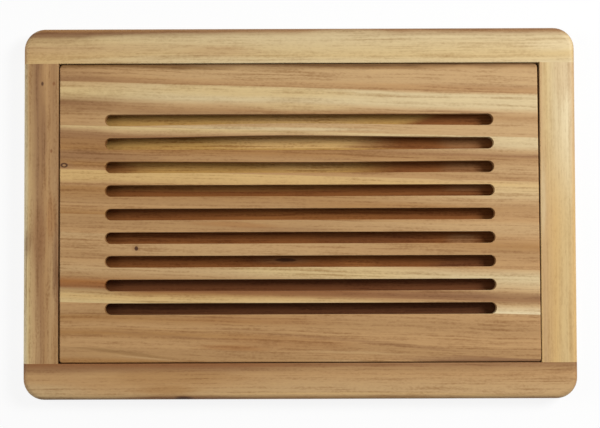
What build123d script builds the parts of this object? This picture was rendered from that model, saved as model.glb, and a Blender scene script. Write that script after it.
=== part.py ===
from build123d import *
import math
import os

# Bread board: a framed crumb tray with a slotted panel that lifts out of it.
# Bread is cut on the panel, and the crumbs fall through its slots to the floor.
# The origin is on the underside, at the middle of the board. X runs along the
# board, Y towards its rear rail and Z up. All sizes are in millimetres.

# Frame, seen from above
board_length = 475.0
board_width = 319.2
rear_rail_width = 30.4
front_rail_width = 31.0
left_rail_width = 30.0
right_rail_width = 30.7
corner_radius = 18.0

# Edges of the frame
outer_top_round = 5.0
outer_bottom_round = 2.0
opening_round = 0.8

# Layers, from the underside up. The panel lies a little below the frame's top.
floor_thickness = 5.0
crumb_depth = 5.0
panel_thickness = 9.0
panel_recess = 1.0

# The ledge carries the panel, and the floor lies in a rabbet under it
ledge_width = 7.0
rabbet_width = 3.0
floor_edge_gap = 0.3
floor_stave_count = 7

# Lift-out panel. Its end gap is that at the middle of each end. Both ends are out of
# square by their taper: the gap at the left-hand end narrows to the rear, and the gap
# at the right-hand end narrows to the front.
panel_end_gap = 0.9
panel_rear_gap = 0.5
panel_front_gap = 0.6
panel_left_taper = 0.5
panel_right_taper = 1.4
panel_rear_corner = 4.0
panel_front_corner = 2.5
panel_top_round = 1.2
panel_bottom_chamfer = 0.8

# Slots in the panel, as many as its width has room for. The lengths are those of the
# first slot, and each other slot runs on to the right by the growth from the one behind.
slot_width = 9.9
slot_pitch = 20.3
slot_growth = 0.22
slot_end_margin = 39.0
slot_rear_margin = 43.5
least_front_margin = 29.0
slot_chamfer = 0.2

# The two rear strips between the slots have sprung since the slots were cut. Each
# bow is how far a strip has moved towards the rear, at its place along the slots.
first_strip_bow = 1.9
first_strip_bow_x = -25.0
second_strip_bow = -0.85
second_strip_bow_x = 30.0

# Staves of the panel. Its glue lines slant: each comes nearer to the front rail by
# the fall, from the panel's left-hand end to its right-hand end. The widths of the
# rear and the front stave are those at the middle of the panel's length, and the
# stave behind the front one takes what the full staves leave.
stave_width = 38.0
rear_stave_width = 20.4
front_stave_width = 8.3
least_stave_width = 24.0
glue_line_fall = 12.2

# Corner dowels, two in each butt joint of the frame
dowel_diameter = 6.0
dowel_length = 30.0
dowel_spacing = 14.0
dowel_end_gap = 1.0
dowel_glue_gap = 0.1
dowel_chamfer = 0.8

# Places that follow from the sizes above
ledge_top = floor_thickness + crumb_depth
seat_depth = panel_thickness + panel_recess
frame_height = ledge_top + seat_depth
opening_length = board_length - left_rail_width - right_rail_width
opening_width = board_width - rear_rail_width - front_rail_width
opening_rear = board_width / 2 - rear_rail_width
opening_front = front_rail_width - board_width / 2
opening_x = (left_rail_width - right_rail_width) / 2
opening_y = (opening_rear + opening_front) / 2
ledge_length = opening_length - 2 * ledge_width
panel_length = opening_length - 2 * panel_end_gap
panel_width = opening_width - panel_rear_gap - panel_front_gap
slot_length = panel_length - 2 * slot_end_margin
slot_room = panel_width - slot_rear_margin - least_front_margin - slot_width
slot_count = 1 + int(slot_room // slot_pitch)

os.makedirs("parts", exist_ok=True)


def save(piece, name):
    """Label a finished piece and write it to its own file."""
    piece.part.label = name
    export_step(piece.part, f"parts/{name}.step")


def top_of(piece):
    return piece.faces().sort_by(Axis.Z)[-1]


def bottom_of(piece):
    return piece.faces().sort_by(Axis.Z)[0]


def dowel_row(side, rail_width):
    """Places of one corner's two dowels, in the plane of its butt joint."""
    middle = side * (board_length - rail_width) / 2
    outward = side * dowel_spacing / 2
    return {
        "outer": (middle + outward, frame_height / 2),
        "inner": (middle - outward, frame_height / 2),
    }


# Whole frame as it is shaped after the rails are glued up: its outer edges are
# rounded in one pass, and so is the rim of the opening. The rails are cut from it
# along their joint lines.
opening_plane = Plane((opening_x, opening_y, 0))
dowel_rows = {
    "left": dowel_row(-1, left_rail_width),
    "right": dowel_row(1, right_rail_width),
}
dowel_spots = [spot for row in dowel_rows.values() for spot in row.values()]

with BuildPart() as frame_blank:
    with BuildSketch():
        RectangleRounded(board_length, board_width, corner_radius)
    extrude(amount=frame_height)
    fillet(top_of(frame_blank).edges(), outer_top_round)
    fillet(bottom_of(frame_blank).edges(), outer_bottom_round)
    with BuildSketch(opening_plane.offset(ledge_top)):
        Rectangle(opening_length, opening_width)
    extrude(amount=seat_depth, mode=Mode.SUBTRACT)
    fillet(top_of(frame_blank).inner_wires()[0].edges(), opening_round)
    with BuildSketch(opening_plane):
        Rectangle(ledge_length, opening_width - 2 * ledge_width)
    extrude(amount=ledge_top, mode=Mode.SUBTRACT)
    with BuildSketch(opening_plane):
        Rectangle(opening_length + 2 * rabbet_width, opening_width + 2 * rabbet_width)
    extrude(amount=floor_thickness, mode=Mode.SUBTRACT)
    for joint_y in (opening_rear, opening_front):
        with BuildSketch(Plane.XZ.offset(-joint_y)):
            with Locations(*dowel_spots):
                Circle(dowel_diameter / 2 + dowel_glue_gap)
        extrude(amount=dowel_length / 2 + dowel_end_gap, both=True, mode=Mode.SUBTRACT)


def long_rail(name, joint_y, outer_y):
    """Rail along the board: its full length, with a ledge between the side rails."""
    ledge_y = joint_y - math.copysign(ledge_width, joint_y)
    with BuildPart() as rail:
        add(frame_blank.part)
        with BuildSketch():
            with Locations((0, (joint_y + outer_y) / 2)):
                Rectangle(board_length, abs(outer_y - joint_y))
            with Locations((opening_x, (joint_y + ledge_y) / 2)):
                Rectangle(ledge_length, ledge_width)
        extrude(amount=frame_height, mode=Mode.INTERSECT)
    save(rail, name)


def side_rail(name, side, rail_width):
    """Rail between the long ones, with its ledge along its whole length."""
    width = rail_width + ledge_width
    with BuildPart() as rail:
        add(frame_blank.part)
        with BuildSketch():
            with Locations((side * (board_length - width) / 2, opening_y)):
                Rectangle(width, opening_width)
        extrude(amount=frame_height, mode=Mode.INTERSECT)
    save(rail, name)


long_rail("rear_rail", opening_rear, board_width / 2)
long_rail("front_rail", opening_front, -board_width / 2)
side_rail("left_rail", -1, left_rail_width)
side_rail("right_rail", 1, right_rail_width)


# Dowels across the butt joints, half in each rail
def corner_dowel(name, spot, joint_y):
    with BuildPart() as dowel:
        with BuildSketch(Plane.XZ.offset(-joint_y)):
            with Locations(spot):
                Circle(dowel_diameter / 2)
        extrude(amount=dowel_length / 2, both=True)
        chamfer(dowel.edges().filter_by(GeomType.CIRCLE), dowel_chamfer)
    save(dowel, name)


for joint_name, joint_y in (("rear", opening_rear), ("front", opening_front)):
    for side_name, row in dowel_rows.items():
        for place, spot in row.items():
            corner_dowel(f"dowel_{joint_name}_{side_name}_{place}", spot, joint_y)


# Floor of the tray: staves glued edge to edge, let into the rabbet from below
floor_length = opening_length + 2 * (rabbet_width - floor_edge_gap)
floor_width = opening_width + 2 * (rabbet_width - floor_edge_gap)
floor_stave_width = floor_width / floor_stave_count
floor_rear = opening_y + floor_width / 2

for index in range(floor_stave_count):
    with BuildPart() as floor_stave:
        with BuildSketch():
            with Locations((opening_x, floor_rear - (index + 0.5) * floor_stave_width)):
                Rectangle(floor_length, floor_stave_width)
        extrude(amount=floor_thickness)
    save(floor_stave, f"floor_stave_{index + 1}")


# Slotted panel as it is machined after its staves are glued up
panel_rear = opening_rear - panel_rear_gap
panel_plane = Plane((opening_x, panel_rear - panel_width / 2, ledge_top))
first_slot_y = panel_rear - slot_rear_margin - slot_width / 2
slot_plane = Plane((opening_x, first_slot_y, ledge_top))
panel_corners = [
    (-panel_length / 2 + panel_left_taper / 2, -panel_width / 2),
    (panel_length / 2 + panel_right_taper / 2, -panel_width / 2),
    (panel_length / 2 - panel_right_taper / 2, panel_width / 2),
    (-panel_length / 2 - panel_left_taper / 2, panel_width / 2),
]


def sprung_edge(edge_y, bow, bow_x, mode):
    """Sliver between a strip's straight edge and the one that it has sprung to."""
    end_x = (slot_length - slot_width) / 2
    ends = [(-end_x, edge_y), (end_x, edge_y)]
    with BuildLine() as sliver:
        Spline(ends[0], (bow_x, edge_y + bow), ends[1], tangents=((1, 0), (1, 0)))
        Line(*ends)
    make_face(sliver.edges(), mode=mode)


def sprung_strip(index, bow, bow_x):
    """Bow the strip in front of a slot: one of its slots widens, the other narrows."""
    rear_edge = -index * slot_pitch - slot_width / 2
    front_edge = -(index + 1) * slot_pitch + slot_width / 2
    modes = (Mode.SUBTRACT, Mode.ADD) if bow > 0 else (Mode.ADD, Mode.SUBTRACT)
    sprung_edge(rear_edge, bow, bow_x, modes[0])
    sprung_edge(front_edge, bow, bow_x, modes[1])


with BuildPart() as panel_blank:
    with BuildSketch(panel_plane) as panel_outline:
        with BuildLine():
            Polyline(*panel_corners, close=True)
        make_face()
        fillet(panel_outline.vertices().sort_by(Axis.Y)[2:], panel_rear_corner)
        fillet(panel_outline.vertices().sort_by(Axis.Y)[:2], panel_front_corner)
    extrude(amount=panel_thickness)
    fillet(top_of(panel_blank).edges(), panel_top_round)
    chamfer(bottom_of(panel_blank).edges(), panel_bottom_chamfer)
    with BuildSketch(slot_plane):
        for index in range(slot_count):
            growth = index * slot_growth
            with Locations((growth / 2, -index * slot_pitch)):
                SlotOverall(slot_length + growth, slot_width)
        sprung_strip(0, first_strip_bow, first_strip_bow_x)
        sprung_strip(1, second_strip_bow, second_strip_bow_x)
    extrude(amount=panel_thickness, mode=Mode.SUBTRACT)
    chamfer(top_of(panel_blank).inner_wires().edges(), slot_chamfer)


# Staves of the panel, cut from it along the slanting glue lines
stave_room = panel_width - rear_stave_width - front_stave_width - least_stave_width
glue_line_count = 1 + int(stave_room // stave_width)
glue_lines = [-rear_stave_width - index * stave_width for index in range(glue_line_count)]
glue_lines.append(front_stave_width - panel_width)
stave_bounds = [panel_width, *glue_lines, -2 * panel_width]
grain = (panel_length, -glue_line_fall, 0)
stave_plane = Plane(origin=(opening_x, panel_rear, ledge_top), x_dir=grain, z_dir=(0, 0, 1))

for index, (rear, front) in enumerate(zip(stave_bounds, stave_bounds[1:])):
    with BuildPart() as panel_stave:
        add(panel_blank.part)
        with BuildSketch(stave_plane):
            with Locations((0, (rear + front) / 2)):
                Rectangle(panel_length + panel_width, rear - front)
        extrude(amount=panel_thickness, mode=Mode.INTERSECT)
    save(panel_stave, f"panel_stave_{index + 1}")
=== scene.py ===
import math

import bpy
from mathutils import Euler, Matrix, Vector


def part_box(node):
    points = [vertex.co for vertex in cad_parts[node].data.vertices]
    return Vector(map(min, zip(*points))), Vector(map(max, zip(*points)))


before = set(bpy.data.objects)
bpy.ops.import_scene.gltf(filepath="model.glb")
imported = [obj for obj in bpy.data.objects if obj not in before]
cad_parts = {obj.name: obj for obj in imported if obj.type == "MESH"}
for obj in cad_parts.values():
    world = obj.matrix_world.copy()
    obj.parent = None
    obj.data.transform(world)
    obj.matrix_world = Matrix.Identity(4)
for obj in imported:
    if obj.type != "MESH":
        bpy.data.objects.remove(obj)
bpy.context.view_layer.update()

# Bread board in oiled acacia: a framed crumb tray with a slotted panel in it. Every
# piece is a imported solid, so this script gives them their wood, and adds the floor,
# the light and the camera. Lengths named _mm or _MM are in millimetres, and the
# others in metres.

MM = 0.001


# Small helpers

def linear(code):
    """Turn an sRGB hex colour into the linear colour that the shaders take."""
    channels = [int(code[i:i + 2], 16) / 255 for i in (1, 3, 5)]
    return [c / 12.92 if c <= 0.04045 else ((c + 0.055) / 1.055) ** 2.4 for c in channels] + [1]


def add(tree, kind, inputs=None, stops=(), **settings):
    """Add a node with its settings, a ramp's stops, and its inputs' values or links."""
    node = tree.nodes.new(kind)
    for key, value in settings.items():
        setattr(node, key, value)
    for key, value in (inputs or {}).items():
        if isinstance(value, bpy.types.NodeSocket):
            tree.links.new(value, node.inputs[key])
        else:
            node.inputs[key].default_value = value
    if stops:
        elements = node.color_ramp.elements
        while len(elements) < len(stops):
            elements.new(0.5)
        for element, (place, code) in zip(elements, stops):
            element.position = place
            element.color = linear(code)
    return node


# Acacia

# Tones of oiled acacia, from its pale sapwood to its dark heartwood. A plank runs
# from one to the next across its grain.
TONES = {
    "ivory": "#e6d4a9",
    "cream": "#d4be90",
    "straw": "#d3b882",
    "maize": "#d0ac70",
    "oat": "#c29f6f",
    "tan": "#bb9362",
    "biscuit": "#b0895a",
    "nut": "#a67a47",
    "brown": "#997149",
    "russet": "#835d3d",
    "umber": "#8a5b34",
    "cinnamon": "#9f6936",
    "bark": "#492a16",
    "chestnut": "#845127",
    "hay": "#ba9352",
    "olive": "#7f5c30",
    "walnut": "#6c4022",
    "peat": "#5a351c",
}

# Sizes of the figure in acacia: along, across and up
FIBRE_MM = (55, 1.4, 1.4)
FLECK_MM = (3, 1.6, 1.6)
RIBBON_MM = (26, 5, 5)
CLOUD_MM = (95, 26, 26)
# Acacia's pores are 0.2 mm wide. They are drawn twice as wide, so that they show.
PORE_MM = (5.5, 0.45, 0.45)
# A pore begins where its noise passes the first of these, and is full at the second
PORE_PEAK = (0.66, 0.76)
PORE_STRENGTH = 0.14
PORE_DEPTH_MM = 0.12
# Bands, rings and fibres wander sideways, slowly and then more quickly, by up to this
SLOW_WAVER_MM = (170, 48, 48)
SLOW_REACH_MM = 8
QUICK_WAVER_MM = (42, 9, 9)
QUICK_REACH_MM = 2
# Growth rings are about this far apart. They run on along the plank, so a distance
# along it counts for only this much of one across it.
RING_MM = 2.6
RING_RUN = 0.012
# Streaks and knots go right through a plank, which is far thinner than this
THROUGH_MM = 1e6

# What dark rings and fibres take from a tone, from the darkest to the palest wood
FIBRE_TINTS = [(0, "#cbbcad"), (0.5, "#f6f4f5"), (1, "#ffffff")]
END_GRAIN_TINT = "#e5d7c8"
# The grain figure stays about this near to its average of 0.5
GRAIN_SPREAD = 0.22

# The edge of a streak or knot: where its full strength ends and where nothing of it is
# left, in shares of its half sizes, and how far the ribbon figure frays it
STREAK_EDGE = (0.35, 1.15, 0.5)
HALO_EDGE = (0.1, 1.0, 0.3)
KNOT_EDGE = (0.7, 1.1, 0.2)
HEART_EDGE = (0.5, 1.1, 0.2)
# The wood round a knot is darker for this many times its half length and half width
HALO_LENGTH = 3.5
HALO_WIDTH = 2.4


def grain_group():
    """Node group for the figure that all the planks share, laid out along the plank.

    Place is (along, across, up) in mm. Figure is that place with the plank's waver in
    it, and Across is its middle value. Grain is 0.5 on average, and lower on dark
    fibres and rings. Ribbon is a coarser figure for ragged edges. Pore is 1 in a pore.
    Seed picks a stretch of the figure, Pith is the middle of the rings, and Waver is
    how much of the waver this plank has.
    """
    tree = bpy.data.node_groups.new("acacia grain", "ShaderNodeTree")
    face = tree.interface
    face.new_socket("Place", in_out="INPUT", socket_type="NodeSocketVector")
    face.new_socket("Seed", in_out="INPUT", socket_type="NodeSocketVector")
    face.new_socket("Pith", in_out="INPUT", socket_type="NodeSocketVector")
    face.new_socket("Waver", in_out="INPUT", socket_type="NodeSocketFloat")
    face.new_socket("Figure", in_out="OUTPUT", socket_type="NodeSocketVector")
    face.new_socket("Across", in_out="OUTPUT", socket_type="NodeSocketFloat")
    face.new_socket("Grain", in_out="OUTPUT", socket_type="NodeSocketFloat")
    face.new_socket("Ribbon", in_out="OUTPUT", socket_type="NodeSocketFloat")
    face.new_socket("Pore", in_out="OUTPUT", socket_type="NodeSocketFloat")
    given = add(tree, "NodeGroupInput").outputs
    seeded = add(tree, "ShaderNodeVectorMath", {0: given["Place"], 1: given["Seed"]},
                 operation="ADD").outputs[0]

    def stretched(place, size_mm, detail):
        """Noise whose blotches have this size along, across and through the plank."""
        scaled = add(tree, "ShaderNodeVectorMath", {0: place, 1: size_mm}, operation="DIVIDE")
        return add(tree, "ShaderNodeTexNoise",
                   {"Vector": scaled.outputs[0], "Scale": 1, "Detail": detail,
                    "Roughness": 0.6}).outputs["Fac"]

    # The plank's waver moves its bands, rings and fibres sideways together
    slow = add(tree, "ShaderNodeMath", {0: stretched(seeded, SLOW_WAVER_MM, 1),
                                        1: 2 * SLOW_REACH_MM, 2: -SLOW_REACH_MM},
               operation="MULTIPLY_ADD").outputs[0]
    quick = add(tree, "ShaderNodeMath", {0: stretched(seeded, QUICK_WAVER_MM, 2),
                                         1: 2 * QUICK_REACH_MM, 2: slow},
                operation="MULTIPLY_ADD").outputs[0]
    centred = add(tree, "ShaderNodeMath", {0: quick, 1: QUICK_REACH_MM},
                  operation="SUBTRACT").outputs[0]
    waver = add(tree, "ShaderNodeMath", {0: centred, 1: given["Waver"]},
                operation="MULTIPLY").outputs[0]
    sideways = add(tree, "ShaderNodeCombineXYZ", {"Y": waver}).outputs[0]
    figure = add(tree, "ShaderNodeVectorMath", {0: given["Place"], 1: sideways},
                 operation="ADD").outputs[0]
    across = add(tree, "ShaderNodeSeparateXYZ", {0: figure}).outputs["Y"]
    fibres_at = add(tree, "ShaderNodeVectorMath", {0: figure, 1: given["Seed"]},
                    operation="ADD").outputs[0]

    # Growth rings lie round the pith, which is outside the plank
    from_pith = add(tree, "ShaderNodeVectorMath", {0: figure, 1: given["Pith"]},
                    operation="SUBTRACT").outputs[0]
    radial = add(tree, "ShaderNodeVectorMath", {0: from_pith, 1: (RING_RUN, 1, 1)},
                 operation="MULTIPLY").outputs[0]
    radius = add(tree, "ShaderNodeVectorMath", {0: radial}, operation="LENGTH").outputs["Value"]
    ring_at = add(tree, "ShaderNodeMath", {0: radius, 1: RING_MM}, operation="DIVIDE").outputs[0]
    rings = add(tree, "ShaderNodeTexNoise",
                {"W": ring_at, "Scale": 1, "Detail": 3, "Roughness": 0.55},
                noise_dimensions="1D").outputs["Fac"]

    fibre = stretched(fibres_at, FIBRE_MM, 4)
    fleck = stretched(fibres_at, FLECK_MM, 1)
    ribbon = stretched(fibres_at, RIBBON_MM, 2)
    cloud = stretched(fibres_at, CLOUD_MM, 2)

    # The grain is their average, in which the cloud figure counts as 1
    grain = cloud
    total = 1.0
    for part, share in ((rings, 1.1), (fibre, 1.7), (fleck, 0.8), (ribbon, 0.8)):
        grain = add(tree, "ShaderNodeMath", {0: part, 1: share, 2: grain},
                    operation="MULTIPLY_ADD").outputs[0]
        total += share
    grain = add(tree, "ShaderNodeMath", {0: grain, 1: total}, operation="DIVIDE").outputs[0]
    pore = add(tree, "ShaderNodeMapRange",
               {"Value": stretched(fibres_at, PORE_MM, 0), "From Min": PORE_PEAK[0],
                "From Max": PORE_PEAK[1]},
               interpolation_type="SMOOTHSTEP").outputs["Result"]
    add(tree, "NodeGroupOutput", {"Figure": figure, "Across": across, "Grain": grain,
                                  "Ribbon": ribbon, "Pore": pore})
    return tree


GRAIN = grain_group()


def spot(tree, grain, colour, shape, edge):
    """Lay one streak or one part of a knot over the colour of the wood."""
    along, across, half_length, half_width, tone, strength, *slant = shape
    full, gone, fray = edge
    sized = add(tree, "ShaderNodeMapping",
                {"Vector": grain.outputs["Figure"], "Location": (along, across, 0),
                 "Rotation": (0, 0, math.radians(slant[0]) if slant else 0),
                 "Scale": (half_length, half_width, THROUGH_MM)},
                vector_type="TEXTURE").outputs[0]
    away = add(tree, "ShaderNodeVectorMath", {0: sized}, operation="LENGTH").outputs["Value"]
    frayed = add(tree, "ShaderNodeMath", {0: grain.outputs["Ribbon"], 1: fray, 2: away},
                 operation="MULTIPLY_ADD").outputs[0]
    cover = add(tree, "ShaderNodeMapRange",
                {"Value": frayed, "From Min": full + fray / 2, "From Max": gone + fray / 2,
                 "To Min": strength, "To Max": 0.0},
                interpolation_type="SMOOTHSTEP").outputs["Result"]
    return add(tree, "ShaderNodeMix", {0: cover, 6: colour, 7: linear(TONES[tone])},
               data_type="RGBA").outputs[2]


def acacia(name, *, origin_mm, turn_degrees, width_mm, left, right, pith_mm,
           change=(0, 160, 0), waver=0.35, streaks=(), knots=(), contrast=1.9, gloss=0.25):
    """Oiled acacia for one plank, planed and sanded, with a satin sheen.

    The plank's own place starts at origin_mm, on the edge that its bands are measured
    from, and its grain is turned by turn_degrees from X. left and right are its bands
    at the two ends, each band with its place across and its tone. change says where
    one end's bands become the other's: the middle, the length and the lean of that
    change. pith_mm is where the tree's pith lies from there. A streak is (along,
    across, half length, half width, tone, strength), and may end with its slant in
    degrees. A knot is (along, across, half length, half width), and may end with the
    tone of its heart. All these distances are in mm.
    """
    material = bpy.data.materials.new(name)
    material.use_nodes = True
    tree = material.node_tree
    tree.nodes.clear()
    # Each plank has its own stretch of the figure, chosen by its name
    seed = tuple(137.0 * (sum(map(ord, name)) % 29 + i * 11) for i in range(3))
    # Across runs towards the front, so that axis is turned over
    where = add(tree, "ShaderNodeTexCoord")
    place = add(tree, "ShaderNodeMapping",
                {"Vector": where.outputs["Object"], "Location": [v * MM for v in origin_mm],
                 "Rotation": (0, 0, math.radians(turn_degrees)), "Scale": (MM, -MM, MM)},
                vector_type="TEXTURE").outputs[0]
    grain = add(tree, "ShaderNodeGroup", node_tree=GRAIN)
    tree.links.new(place, grain.inputs["Place"])
    grain.inputs["Seed"].default_value = seed
    grain.inputs["Pith"].default_value = pith_mm
    grain.inputs["Waver"].default_value = waver

    # Bands of sapwood and heartwood, which change along the plank
    band_at = add(tree, "ShaderNodeMath", {0: grain.outputs["Across"], 1: width_mm},
                  operation="DIVIDE").outputs[0]
    ends = [add(tree, "ShaderNodeValToRGB", {"Fac": band_at},
                stops=[(place_mm / width_mm, TONES[tone]) for place_mm, tone in bands])
            for bands in (left, right)]
    middle, length, lean = change
    leaning = add(tree, "ShaderNodeVectorMath", {0: grain.outputs["Figure"], 1: (1, lean, 0)},
                  operation="DOT_PRODUCT").outputs["Value"]
    changed = add(tree, "ShaderNodeMapRange",
                  {"Value": leaning, "From Min": middle - length / 2,
                   "From Max": middle + length / 2},
                  interpolation_type="SMOOTHSTEP").outputs["Result"]
    colour = add(tree, "ShaderNodeMix",
                 {0: changed, 6: ends[0].outputs[0], 7: ends[1].outputs[0]},
                 data_type="RGBA").outputs[2]

    # Long spindles of another tone, some of them painted shade and highlights,
    # then the knots with the darker wood round them
    for streak in streaks:
        colour = spot(tree, grain, colour, streak, STREAK_EDGE)
    for along, across, half_length, half_width, *heart in knots:
        halo = (along, across, half_length * HALO_LENGTH, half_width * HALO_WIDTH, "brown", 0.5)
        knot = (along, across, half_length, half_width, "bark", 0.95)
        colour = spot(tree, grain, colour, halo, HALO_EDGE)
        colour = spot(tree, grain, colour, knot, KNOT_EDGE)
        for tone in heart:
            core = (along, across, half_length / 2, half_width / 2, tone, 0.9)
            colour = spot(tree, grain, colour, core, HEART_EDGE)

    # Rings, fibres and pores darken the tone and make it warmer
    spread = GRAIN_SPREAD / contrast
    shade = add(tree, "ShaderNodeMapRange",
                {"Value": grain.outputs["Grain"], "From Min": 0.5 - spread,
                 "From Max": 0.5 + spread}).outputs["Result"]
    tint = add(tree, "ShaderNodeValToRGB", {"Fac": shade}, stops=FIBRE_TINTS)
    colour = add(tree, "ShaderNodeMix", {0: 1.0, 6: colour, 7: tint.outputs[0]},
                 data_type="RGBA", blend_type="MULTIPLY").outputs[2]
    in_pore = add(tree, "ShaderNodeMath", {0: grain.outputs["Pore"], 1: PORE_STRENGTH},
                  operation="MULTIPLY").outputs[0]
    colour = add(tree, "ShaderNodeMix", {0: in_pore, 6: colour, 7: linear(TONES["umber"])},
                 data_type="RGBA").outputs[2]

    # End grain drinks more oil, so it is darker
    turn = math.radians(turn_degrees)
    facing = add(tree, "ShaderNodeVectorMath",
                 {0: where.outputs["Normal"], 1: (math.cos(turn), math.sin(turn), 0)},
                 operation="DOT_PRODUCT").outputs["Value"]
    square_on = add(tree, "ShaderNodeMath", {0: facing}, operation="ABSOLUTE").outputs[0]
    on_end = add(tree, "ShaderNodeMapRange",
                 {"Value": square_on, "From Min": 0.35, "From Max": 0.95},
                 interpolation_type="SMOOTHSTEP").outputs["Result"]
    colour = add(tree, "ShaderNodeMix", {0: on_end, 6: colour, 7: linear(END_GRAIN_TINT)},
                 data_type="RGBA", blend_type="MULTIPLY").outputs[2]

    # Dark fibres are duller than pale wood, and the pores are sunk in the surface
    rough = add(tree, "ShaderNodeMapRange",
                {"Value": grain.outputs["Grain"], "From Min": 0.3, "From Max": 0.7,
                 "To Min": 0.62, "To Max": 0.44}).outputs["Result"]
    height = add(tree, "ShaderNodeMath",
                 {0: grain.outputs["Pore"], 1: -0.9, 2: grain.outputs["Grain"]},
                 operation="MULTIPLY_ADD").outputs[0]
    bump = add(tree, "ShaderNodeBump",
               {"Height": height, "Strength": 0.5, "Distance": PORE_DEPTH_MM * MM})
    shader = add(tree, "ShaderNodeBsdfPrincipled",
                 {"Base Color": colour, "Roughness": rough, "IOR": 1.46,
                  "Specular IOR Level": gloss, "Normal": bump.outputs[0]})
    add(tree, "ShaderNodeOutputMaterial", {"Surface": shader.outputs[0]})
    return material


def dress(node, material):
    """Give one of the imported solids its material."""
    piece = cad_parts[node]
    if not piece.data.materials:
        piece.data.materials.append(material)
    for index in range(len(piece.data.materials)):
        piece.data.materials[index] = material


# The frame's rails

# Places follow from the solids: a rail's bands start at its rear or left edge. The
# ledge under the panel is part of the rail, and stands out past the edge seen on top.
LEDGE_MM = 7
rear_rail_rear_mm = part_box("rear_rail")[1].y / MM
front_rail_rear_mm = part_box("front_rail")[1].y / MM - LEDGE_MM
left_rail_left_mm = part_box("left_rail")[0].x / MM
right_rail_left_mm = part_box("right_rail")[0].x / MM + LEDGE_MM

# The rear rail's dark outer edge is heartwood at the left end, and painted shade on the rounded
# edge at the right end
dress("rear_rail", acacia(
    "oiled_acacia_rear_rail", origin_mm=(0, rear_rail_rear_mm, 0), turn_degrees=0, width_mm=30,
    left=[(0, "nut"), (4, "russet"), (10, "straw"), (17, "oat"), (30, "maize")],
    right=[(0, "brown"), (2, "brown"), (8, "cream"), (24, "straw"), (30, "cream")],
    change=(-80, 260, 3), waver=0.3, pith_mm=(0, 160, -30), contrast=1.5,
    # The small ivory streak at the rear left corner is a painted highlight
    streaks=[(-55, 9, 150, 5.5, "cream", 0.4), (-240, 5.5, 80, 3, "russet", 0.7),
             (-70, 21, 45, 7, "oat", 0.6), (-110, 27, 90, 4, "cream", 0.4),
             (-220, 10, 45, 4, "brown", 0.4), (-235, 2, 12, 2, "ivory", 0.4),
             (230, 16, 45, 6, "ivory", 0.4), (40, 4.5, 45, 4, "cream", 0.6)]))
# The umber streak along the front rail's inner edge is painted shade next to the gap; the dark
# band there at the left is heartwood
dress("front_rail", acacia(
    "oiled_acacia_front_rail", origin_mm=(0, front_rail_rear_mm, 0), turn_degrees=0, width_mm=31,
    left=[(0, "umber"), (5, "brown"), (10, "tan"), (19, "tan"), (28, "oat"), (31, "russet")],
    right=[(0, "brown"), (5, "biscuit"), (9, "tan"), (22, "oat"), (28, "oat"), (31, "nut")],
    change=(-20, 100, 1), waver=0.3, pith_mm=(0, -140, -40),
    streaks=[(240, 28.5, 15, 2, "ivory", 0.9), (-240, 24, 65, 10, "cream", 0.3),
             (-110, 30, 50, 4, "umber", 0.5), (-115, 23, 36, 5, "nut", 0.6),
             (-110, 12, 75, 8, "nut", 0.5), (60, 26.5, 190, 1, "maize", 0.4),
             (-40, 1.5, 200, 2, "umber", 0.5), (-100, 30.4, 10, 2.6, "bark", 0.95)]))
# The ivory band along the left rail's outer edge is a painted highlight on its rounded edge
dress("left_rail", acacia(
    "oiled_acacia_left_rail", origin_mm=(left_rail_left_mm, 0, 0), turn_degrees=90, width_mm=30,
    left=[(0, "ivory"), (5, "straw"), (10, "oat"), (16, "brown"), (21, "biscuit"), (27, "oat"),
          (30, "russet")],
    right=[(0, "ivory"), (3, "cream"), (5, "biscuit"), (12, "russet"), (20, "tan"),
           (26, "brown"), (30, "biscuit")],
    change=(20, 400, 0), waver=0.3, pith_mm=(0, 90, -20), contrast=2.5,
    streaks=[(-120, 11.5, 50, 7, "oat", 0.4), (-20, 13, 30, 8, "umber", 0.4),
             (-125, 28, 60, 4.5, "biscuit", 0.9), (-25, 4, 16, 4, "russet", 0.5),
             (-40, 27.5, 38, 2.5, "russet", 0.7), (-5, 24, 24, 4.5, "cinnamon", 0.4),
             (70, 18, 45, 3.5, "russet", 0.5),
             (112, 16.8, 2.2, 1.4, "bark", 0.9), (112, 26.4, 2.2, 1.4, "umber", 0.9),
             (54, 24.4, 2.2, 1.2, "umber", 0.9)]))
dress("right_rail", acacia(
    "oiled_acacia_right_rail", origin_mm=(right_rail_left_mm, 0, 0), turn_degrees=90,
    width_mm=30.7,
    left=[(0, "maize"), (2, "oat"), (12, "maize"), (26, "straw"), (30, "maize")],
    right=[(0, "oat"), (6, "straw"), (13, "cream"), (24, "ivory"), (30, "oat")],
    change=(35, 110, 0), waver=0.3, pith_mm=(0, -110, -30), contrast=1.0,
    streaks=[(-100, 27.5, 110, 5, "maize", 0.6), (125, 21, 36, 10, "tan", 0.3),
             (-85, 20, 110, 5, "straw", 0.3), (10, 2, 40, 3, "cream", 0.6)]))


# The panel's staves

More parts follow.
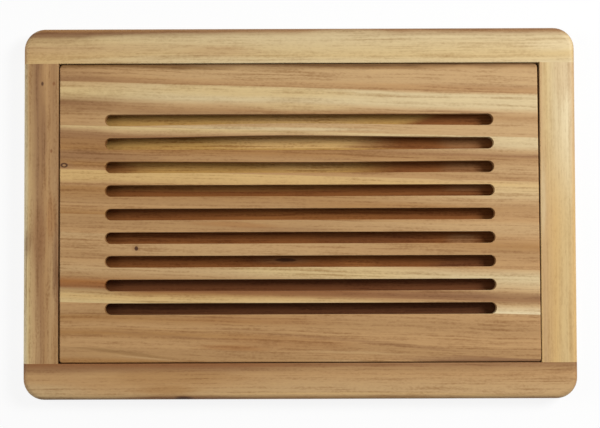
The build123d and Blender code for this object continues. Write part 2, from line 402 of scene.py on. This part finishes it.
# The glue lines fall towards the right over the panel's length, and the grain follows
# them. Distances across run from each stave's rear glue line. All staves are sawn to
# one width, except where a piece was needed to fill the panel up.
GLUE_LINE_FALL_MM = 12.2
PANEL_LENGTH_MM = 412.5
STAVE_WIDTH_MM = 38
STAVE_TURN = -math.degrees(math.atan2(GLUE_LINE_FALL_MM, PANEL_LENGTH_MM))
PANEL_STAVES = [
    # A sawn edge piece, with painted shade along its rear edge, square to the frame
    dict(width_mm=20.4,
         left=[(0, "biscuit"), (8, "tan"), (15, "tan"), (19, "brown"), (20.4, "biscuit")],
         right=[(0, "biscuit"), (3, "oat"), (13, "oat"), (16, "tan"), (20.4, "biscuit")],
         change=(-120, 160, 1),
         streaks=[(-30, 15, 110, 5.5, "oat", 0.4), (165, 15, 75, 3, "brown", 0.3),
                  (175, 2.5, 80, 6, "oat", 0.8), (-225, 15, 80, 10, "russet", 0.3),
                  # Painted shade: the rear rail's shadow on the panel, and the dark gap line
                  # behind it
                  (-206, 6.1, 620, 4.8, "olive", 0.95, STAVE_TURN),
                  (-206, 6.1, 900, 1.6, "bark", 0.5, STAVE_TURN),
                  (-20, 3, 80, 3, "oat", 0.4)]),
    # Pale sapwood along its rear half
    dict(left=[(0, "oat"), (8, "straw"), (10, "straw"), (18, "brown"), (27, "biscuit"),
               (35, "tan"), (38, "biscuit")],
         right=[(0, "oat"), (2, "cream"), (12, "cream"), (17, "oat"), (21, "biscuit"),
                (27, "oat"), (38, "oat")],
         change=(-130, 120, 1), contrast=1.6,
         streaks=[(-25, 36.5, 110, 2, "cream", 0.8), (-90, 25, 110, 4.5, "brown", 0.6),
                  (145, 17, 50, 1.5, "brown", 0.6), (75, 23, 50, 3, "brown", 0.6),
                  (-40, 4.5, 120, 6, "straw", 0.9), (0, 17, 60, 4, "straw", 0.6)]),
    # A pale edge, and a knot cut through at its left end
    dict(left=[(0, "straw"), (4, "oat"), (7, "brown"), (20, "nut"), (26, "biscuit"), (33, "nut"),
               (38, "tan")],
         right=[(0, "cream"), (7, "cream"), (12, "oat"), (16, "brown"), (19, "biscuit"),
                (29, "oat"), (38, "biscuit")],
         change=(100, 280, 0),
         streaks=[(-200, 6.5, 55, 5.5, "brown", 0.5), (-210, 26, 110, 6, "brown", 0.9),
                  (0, 26.5, 150, 4, "biscuit", 0.5)],
         knots=[(-200, 34.8, 3.6, 2.3, "tan")]),
    # Yellow along its rear edge
    dict(left=[(0, "maize"), (7, "maize"), (11, "tan"), (15, "nut"), (27, "biscuit"),
               (29, "tan"), (38, "nut")],
         right=[(0, "oat"), (4, "maize"), (16, "oat"), (23, "biscuit"), (34, "tan"), (38, "oat")],
         change=(80, 200, 0),
         streaks=[(-45, 9.5, 110, 5.5, "maize", 0.6), (200, 9, 110, 8, "cream", 0.4),
                  (90, 25, 100, 5.5, "nut", 0.6)]),
    # Even, with one small black knot
    dict(left=[(0, "biscuit"), (9, "biscuit"), (16, "tan"), (18, "oat"), (27, "tan"),
               (38, "biscuit")],
         right=[(0, "oat"), (6, "oat"), (11, "tan"), (18, "nut"), (25, "biscuit"), (33, "tan"),
                (38, "tan")],
         change=(70, 320, -1),
         streaks=[(-170, 8, 110, 4.5, "biscuit", 0.5), (-5, 9, 56, 4, "russet", 0.3),
                  (-60, 29, 160, 7, "oat", 0.6), (-50, 6, 47, 3, "cinnamon", 0.4)],
         knots=[(-135.7, 28.7, 1.7, 2.3)]),
    # A red-brown heart stripe between pale edges
    dict(left=[(0, "tan"), (9, "oat"), (15, "biscuit"), (20, "cinnamon"), (26, "umber"),
               (28, "nut"), (31, "maize"), (38, "straw")],
         right=[(0, "oat"), (6, "cream"), (9, "cream"), (19, "oat"), (23, "russet"),
                (27, "brown"), (30, "oat"), (38, "ivory")],
         change=(20, 400, -1),
         streaks=[(30, 6, 100, 8, "straw", 0.8), (-190, 28, 60, 4, "straw", 0.4),
                  (105, 28, 60, 1.5, "tan", 0.6), (-25, 24, 120, 4, "umber", 0.6),
                  (80, 20.5, 110, 2.5, "umber", 0.5), (190, 22.5, 30, 4, "biscuit", 0.4)]),
    # Slanting grain, where the saw ran across the rings
    dict(left=[(0, "tan"), (8, "biscuit"), (12, "nut"), (19, "tan"), (26, "nut"), (32, "tan"),
               (38, "tan")],
         right=[(0, "oat"), (2, "tan"), (12, "biscuit"), (22, "tan"), (27, "tan"),
                (30, "biscuit"), (38, "biscuit")],
         change=(-60, 220, -1), waver=0.45,
         streaks=[(-30, 10.5, 80, 5.5, "cinnamon", 0.3), (-5, 29.5, 80, 8, "cinnamon", 0.3),
                  (55, 36, 55, 2, "oat", 0.4), (-50, 35.5, 36, 3, "cinnamon", 0.5),
                  (160, 36.5, 30, 1.5, "brown", 0.9),
                  (-20, 22, 90, 2.2, "brown", 0.3, 3), (90, 28, 80, 2, "brown", 0.5, 3.5),
                  (-110, 27, 70, 2, "brown", 0.4, 3)]),
    # A thin wedge, pale at its right end
    dict(width_mm=12,
         left=[(0, "biscuit"), (9, "biscuit"), (12, "nut")],
         right=[(0, "biscuit"), (4, "tan"), (12, "cream")],
         change=(20, 60, -3),
         streaks=[(170, 1.5, 90, 4, "russet", 0.9), (70, 0.5, 120, 2, "tan", 0.5),
                  (-145, 5, 55, 2, "olive", 0.4, 5), (-125, 9, 36, 0.9, "oat", 0.5, 3)]),
]
# Neighbours come from different places in the log, so their pith lies on other sides
PANEL_PITH_ACROSS_MM = (-70, 110)
PANEL_PITH_UP_MM = (-35, 50, -60)
panel_rear_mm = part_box("panel_stave_1")[1].y / MM
turn = math.radians(STAVE_TURN)
across_mm = 0
for number, stave in enumerate(PANEL_STAVES, start=1):
    width_mm = stave.pop("width_mm", STAVE_WIDTH_MM)
    dress(f"panel_stave_{number}", acacia(
        f"oiled_acacia_panel_stave_{number}",
        origin_mm=(across_mm * math.sin(turn), panel_rear_mm - across_mm * math.cos(turn), 0),
        turn_degrees=STAVE_TURN, width_mm=width_mm,
        pith_mm=(0, PANEL_PITH_ACROSS_MM[number % 2], PANEL_PITH_UP_MM[number % 3]), **stave))
    across_mm += width_mm


# The tray's floor

def even(tone):
    """Bands of a stave that has one tone all over."""
    return [(0, tone), (STAVE_WIDTH_MM, tone)]


# Hay-coloured wood at the rear, which turns to heartwood towards the right, and darker
# heartwood in front of it, as the slots show. The floor is duller than the panel.
FLOOR_STAVES = [
    dict(left=even("hay"), right=[(0, "nut"), (38, "chestnut")]),
    dict(left=even("hay"), right=even("chestnut"), change=(135, 24, 2.7),
         streaks=[(0, 32, 80, 30, "maize", 0.8), (142, 30, 24, 12, "brown", 0.6)]),
    dict(left=[(0, "hay"), (24, "hay"), (38, "chestnut")],
         right=even("chestnut"), change=(71, 70, 0.7),
         streaks=[(5, 12, 50, 10, "maize", 0.5), (-185, 17, 60, 10, "chestnut", 0.9),
                  (142, 24, 24, 24, "brown", 0.6)]),
    dict(left=even("chestnut"), right=even("chestnut"),
         streaks=[(10, 19, 90, 14, "cinnamon", 0.4)]),
    dict(left=even("chestnut"), right=even("chestnut"),
         streaks=[(60, 2, 60, 9, "walnut", 0.5), (140, 2, 16, 8, "brown", 0.7),
                  (50, 23, 22, 7, "cinnamon", 0.6), (150, 25, 45, 10, "walnut", 0.8),
                  (-22, 22, 30, 6, "walnut", 0.6)],
         knots=[(-12.5, 23, 10, 1.8)]),
    dict(left=[(0, "walnut"), (14, "walnut"), (24, "peat"), (38, "peat")],
         right=[(0, "walnut"), (14, "walnut"), (24, "peat"), (38, "peat")]),
    dict(left=[(0, "peat"), (38, "walnut")], right=[(0, "peat"), (38, "walnut")]),
]
FLOOR_PITH_ACROSS_MM = (-60, 90)
FLOOR_PITH_UP_MM = 40
for number, stave in enumerate(FLOOR_STAVES, start=1):
    stave_rear_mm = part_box(f"floor_stave_{number}")[1].y / MM
    dress(f"floor_stave_{number}", acacia(
        f"oiled_acacia_floor_stave_{number}", origin_mm=(0, stave_rear_mm, 0),
        turn_degrees=0, width_mm=STAVE_WIDTH_MM, waver=0.5, contrast=2.8, gloss=0.1,
        pith_mm=(0, FLOOR_PITH_ACROSS_MM[number % 2], FLOOR_PITH_UP_MM), **stave))


# Dowels

# Beech is pale and even, with short darker flecks along its length
BEECH_FLECK_MM = (0.5, 3, 0.5)


def beech():
    """Plain beech, turned into dowels and left without oil."""
    material = bpy.data.materials.new("plain_beech_dowels")
    material.use_nodes = True
    tree = material.node_tree
    tree.nodes.clear()
    where = add(tree, "ShaderNodeTexCoord")
    fleck_at = add(tree, "ShaderNodeVectorMath",
                   {0: where.outputs["Object"], 1: [v * MM for v in BEECH_FLECK_MM]},
                   operation="DIVIDE").outputs[0]
    flecks = add(tree, "ShaderNodeTexNoise", {"Vector": fleck_at, "Scale": 1, "Detail": 2})
    tone = add(tree, "ShaderNodeValToRGB", {"Fac": flecks.outputs["Fac"]},
               stops=[(0.35, "#a9794f"), (0.6, "#cfa67c")])
    bump = add(tree, "ShaderNodeBump",
               {"Height": flecks.outputs["Fac"], "Strength": 0.4, "Distance": 0.1 * MM})
    shader = add(tree, "ShaderNodeBsdfPrincipled",
                 {"Base Color": tone.outputs[0], "Roughness": 0.65, "IOR": 1.5,
                  "Normal": bump.outputs[0]})
    add(tree, "ShaderNodeOutputMaterial", {"Surface": shader.outputs[0]})
    return material


BEECH = beech()
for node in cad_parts:
    if node.startswith("dowel_"):
        dress(node, BEECH)


# Floor and light

WHITE = "#ffffff"


def seen_directly(tree):
    """1 for what the camera sees itself, in a mirror or through glass, else 0."""
    path = add(tree, "ShaderNodeLightPath").outputs
    seen = path["Is Camera Ray"]
    for other in ("Is Glossy Ray", "Is Transmission Ray"):
        seen = add(tree, "ShaderNodeMath", {0: seen, 1: path[other]},
                   operation="MAXIMUM").outputs[0]
    return seen


# A square of this half width, just under the board, so that they don't share a plane
GROUND_HALF = 4.0
GROUND_DROP = 0.0003
# How far the floor is washed out to white for the camera. The rest of it is lit, and
# so it keeps the board's shadow.
WASHED_OUT = 0.88
ground_mesh = bpy.data.meshes.new("studio_floor")
corners = [(x * GROUND_HALF, y * GROUND_HALF, 0) for x, y in ((-1, -1), (1, -1), (1, 1), (-1, 1))]
ground_mesh.from_pydata(corners, [], [(0, 1, 2, 3)])
ground = bpy.data.objects.new("studio_floor", ground_mesh)
ground.location.z = -GROUND_DROP
bpy.context.scene.collection.objects.link(ground)
paper = bpy.data.materials.new("white_paper_floor")
paper.use_nodes = True
paper.node_tree.nodes.clear()
matt = add(paper.node_tree, "ShaderNodeBsdfDiffuse", {"Color": linear("#ededed")})
glow = add(paper.node_tree, "ShaderNodeEmission", {"Color": linear(WHITE), "Strength": 1.0})
washed = add(paper.node_tree, "ShaderNodeMath",
             {0: seen_directly(paper.node_tree), 1: WASHED_OUT}, operation="MULTIPLY").outputs[0]
mixed = add(paper.node_tree, "ShaderNodeMixShader",
            {0: washed, 1: matt.outputs[0], 2: glow.outputs[0]})
add(paper.node_tree, "ShaderNodeOutputMaterial", {"Surface": mixed.outputs[0]})
ground_mesh.materials.append(paper)

# The world is dim for the board and white for the camera
AMBIENT = 0.13
world = bpy.data.worlds.new("studio")
bpy.context.scene.world = world
world.use_nodes = True
world.node_tree.nodes.clear()
dim = add(world.node_tree, "ShaderNodeBackground",
          {"Color": linear(WHITE), "Strength": AMBIENT})
white = add(world.node_tree, "ShaderNodeBackground", {"Color": linear(WHITE), "Strength": 1.0})
either = add(world.node_tree, "ShaderNodeMixShader",
             {0: seen_directly(world.node_tree), 1: dim.outputs[0], 2: white.outputs[0]})
add(world.node_tree, "ShaderNodeOutputWorld", {"Surface": either.outputs[0]})


def lamp(name, place, size, power):
    """Soft box at a place, turned to the middle of the board."""
    light = bpy.data.lights.new(name, "AREA")
    light.shape = "RECTANGLE"
    light.size, light.size_y = size
    light.energy = power
    made = bpy.data.objects.new(name, light)
    made.location = place
    made.rotation_euler = (-Vector(place)).to_track_quat("-Z", "Y").to_euler()
    bpy.context.scene.collection.objects.link(made)


# The key light falls from the right and a little from the rear, which is what the
# shade in the slots shows. Two weaker ones fill from the left.
lamp("key_soft_box", place=(1.12, 0.5, 1.25), size=(0.6, 0.6), power=29.5)
lamp("left_soft_box", place=(-1.0, 0.15, 1.1), size=(0.6, 0.6), power=4)
lamp("low_left_soft_box", place=(-1.8, 0.3, 0.7), size=(0.6, 0.5), power=7)


# Camera

# The camera looks down on the board and stands a little to the front of upright, and
# the board lies turned a very little in the picture
CAMERA_DISTANCE = 1.28
CAMERA_TILT = math.radians(2.2)
CAMERA_ROLL = math.radians(-0.19)
# What the picture shows from side to side, at the height that the camera aims at
PICTURE_WIDTH_MM = 517.15
SENSOR_MM = 36
target = Vector((0, -0.0008, 0.015))
lens = bpy.data.cameras.new("camera")
lens.sensor_width = SENSOR_MM
lens.lens = SENSOR_MM * CAMERA_DISTANCE / MM / PICTURE_WIDTH_MM
lens.clip_start = 0.01
camera = bpy.data.objects.new("camera", lens)
back = Vector((0, -math.sin(CAMERA_TILT), math.cos(CAMERA_TILT)))
camera.location = target + back * CAMERA_DISTANCE
camera.rotation_euler = Euler((CAMERA_TILT, 0, CAMERA_ROLL), "XYZ")
bpy.context.scene.collection.objects.link(camera)
bpy.context.scene.camera = camera

bpy.context.scene.view_settings.view_transform = "Standard"
